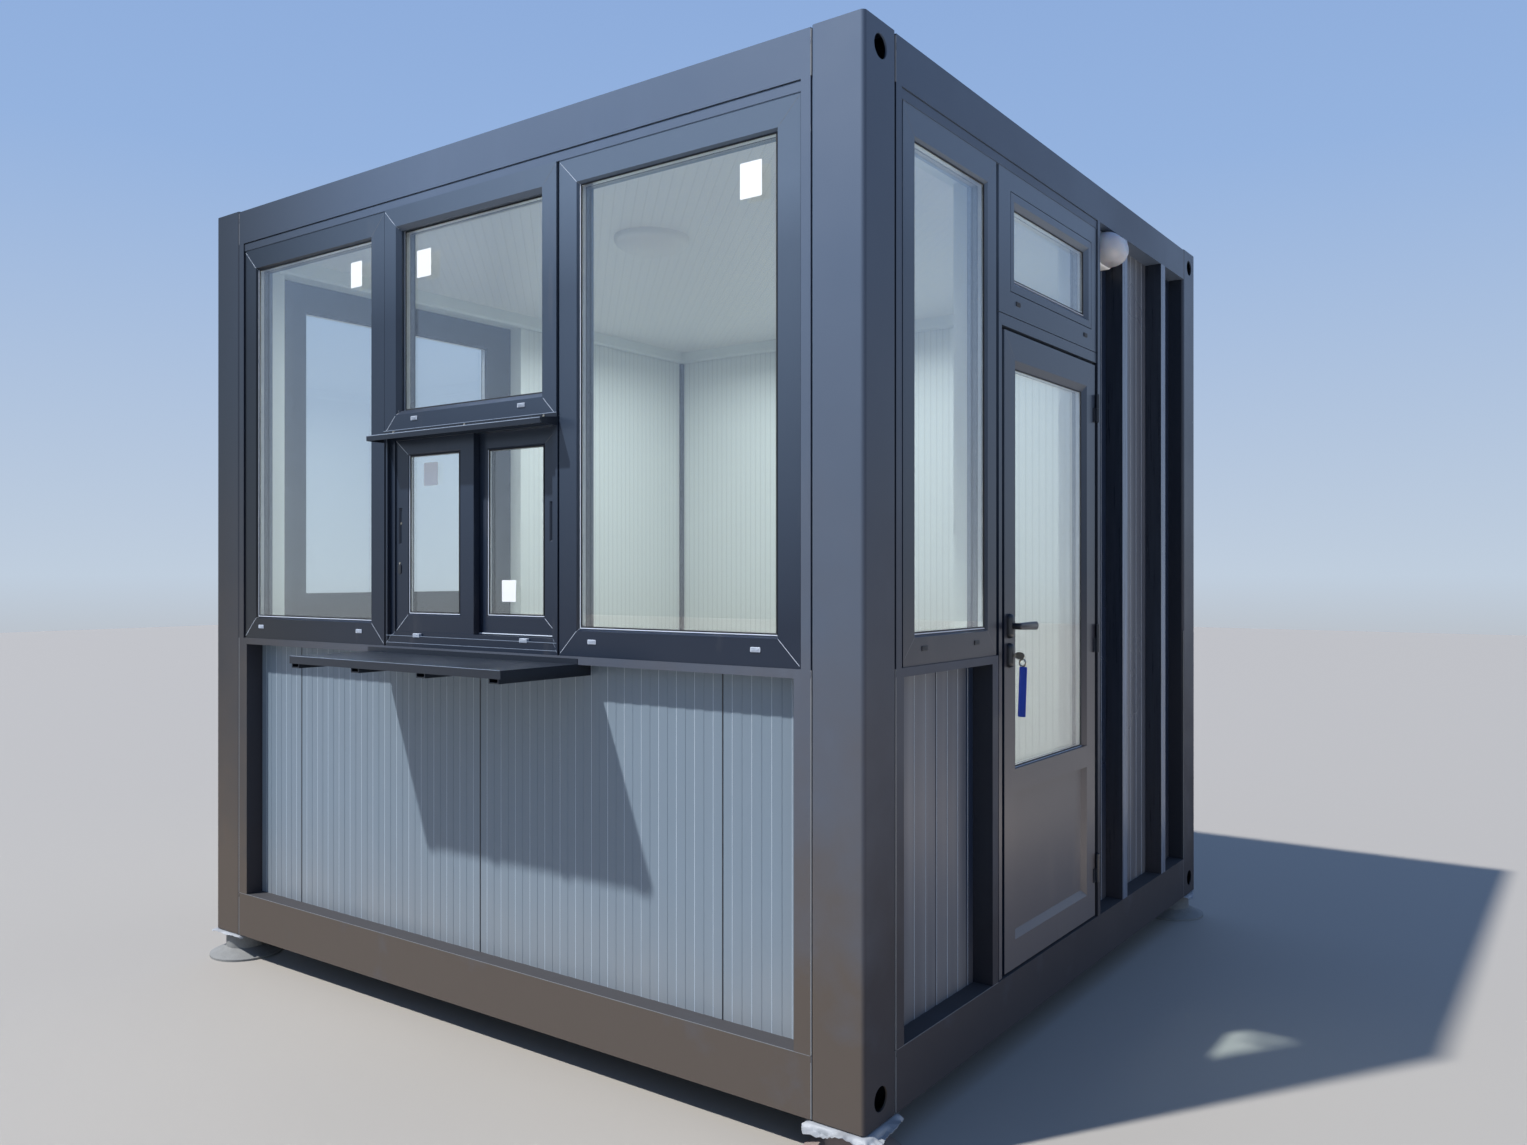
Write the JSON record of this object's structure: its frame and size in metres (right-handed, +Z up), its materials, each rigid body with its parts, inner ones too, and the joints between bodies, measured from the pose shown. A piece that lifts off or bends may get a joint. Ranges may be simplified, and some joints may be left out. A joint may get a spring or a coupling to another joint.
{
  "type": "security guard booth",
  "caption": "Prefabricated steel guard booth with corner posts, glazed walls, a sliding service window with shelf, a glazed side door and concrete pads.",
  "frame": {"origin": "on the ground at the centre of the bounding box, under the middle of the booth with its shelf", "axes": "+X towards the wall with the door, -Y towards the front wall with the service window, +Z up"},
  "size_m": [3.08, 3.195, 2.9],
  "materials": {
    "steel_anthracite": "satin powder coat, slightly dusty",
    "panel_grey": "satin coil coat with fine ribs",
    "panel_cream": "matte coil coat",
    "profile_anthracite": "fine grained foil on plastic profile",
    "clear_glass": "clear double glazing",
    "spacer_grey": "satin",
    "steel_black": "satin black paint with bright specks",
    "handle_black": "satin black",
    "threshold_metal": "brushed",
    "floor_board": "matte board",
    "lamp_white": "satin white",
    "lamp_cover": "frosted",
    "concrete": "rough cast",
    "packing_foam": "crumpled foam sheet",
    "tag_blue": "plain blue plastic"
  },
  "bodies": {
    "booth": {"corner_posts": "steel_anthracite", "base_beams": "steel_anthracite", "roof_beams": "steel_anthracite", "floor_joists": "steel_anthracite", "floor_deck": "floor_board", "ceiling_panel": "panel_cream", "roof_sheet": "steel_anthracite", "window_studs": "steel_anthracite", "window_rails": "steel_anthracite", "bay_posts": "steel_anthracite", "front_parapet_panel": "panel_grey", "right_wall_panels": "panel_grey", "left_parapet_panel": "panel_grey", "left_rear_panel": "panel_grey", "back_wall_panel": "panel_grey", "front_left_frame": "profile_anthracite", "front_right_frame": "profile_anthracite", "front_upper_sash": "profile_anthracite", "front_glass": "clear_glass", "service_frame": "profile_anthracite", "service_sash_left": "profile_anthracite", "service_sash_right": "profile_anthracite", "service_glass": "clear_glass", "drip_cap": "profile_anthracite", "service_shelf": "steel_black", "shelf_arms": "steel_black", "right_window_frame": "profile_anthracite", "door_frame": "profile_anthracite", "door_threshold": "threshold_metal", "transom_sash": "profile_anthracite", "left_window_frame": "profile_anthracite", "left_window_sash": "profile_anthracite", "side_glass": "clear_glass", "glazing_spacers": "spacer_grey", "hinge_jamb_parts": "steel_black", "window_linings": "panel_cream", "door_lining": "panel_cream", "cornice": "panel_cream", "ceiling_lamp": "lamp_white", "wall_lamp_base": "lamp_white", "wall_lamp_cover": "lamp_cover", "support_pads": "concrete", "packing_sheets": "packing_foam"},
    "door": {"door_leaf": "profile_anthracite", "door_glass": "clear_glass", "door_spacer": "spacer_grey", "door_panel": "profile_anthracite", "hinge_leaf_parts": "steel_black", "door_roses": "handle_black", "lock_cylinder": "threshold_metal", "door_key": "tag_blue"},
    "handle": {"handle_levers": "handle_black"}
  },
  "joints": [
    {"name": "door_hinge", "type": "hinge", "parent": "booth", "child": "door", "pos_m": [1.488, 0.3225, 1.2], "axis": [0, 0, 1], "range_deg": [0, 105]},
    {"name": "handle_turn", "type": "hinge", "parent": "door", "child": "handle", "pos_m": [1.485, -0.4245, 1.335], "axis": [-1, 0, 0], "range_deg": [0, 40], "stiffness_Nm_per_rad": 2, "springref_deg": -14.32}
  ]
}
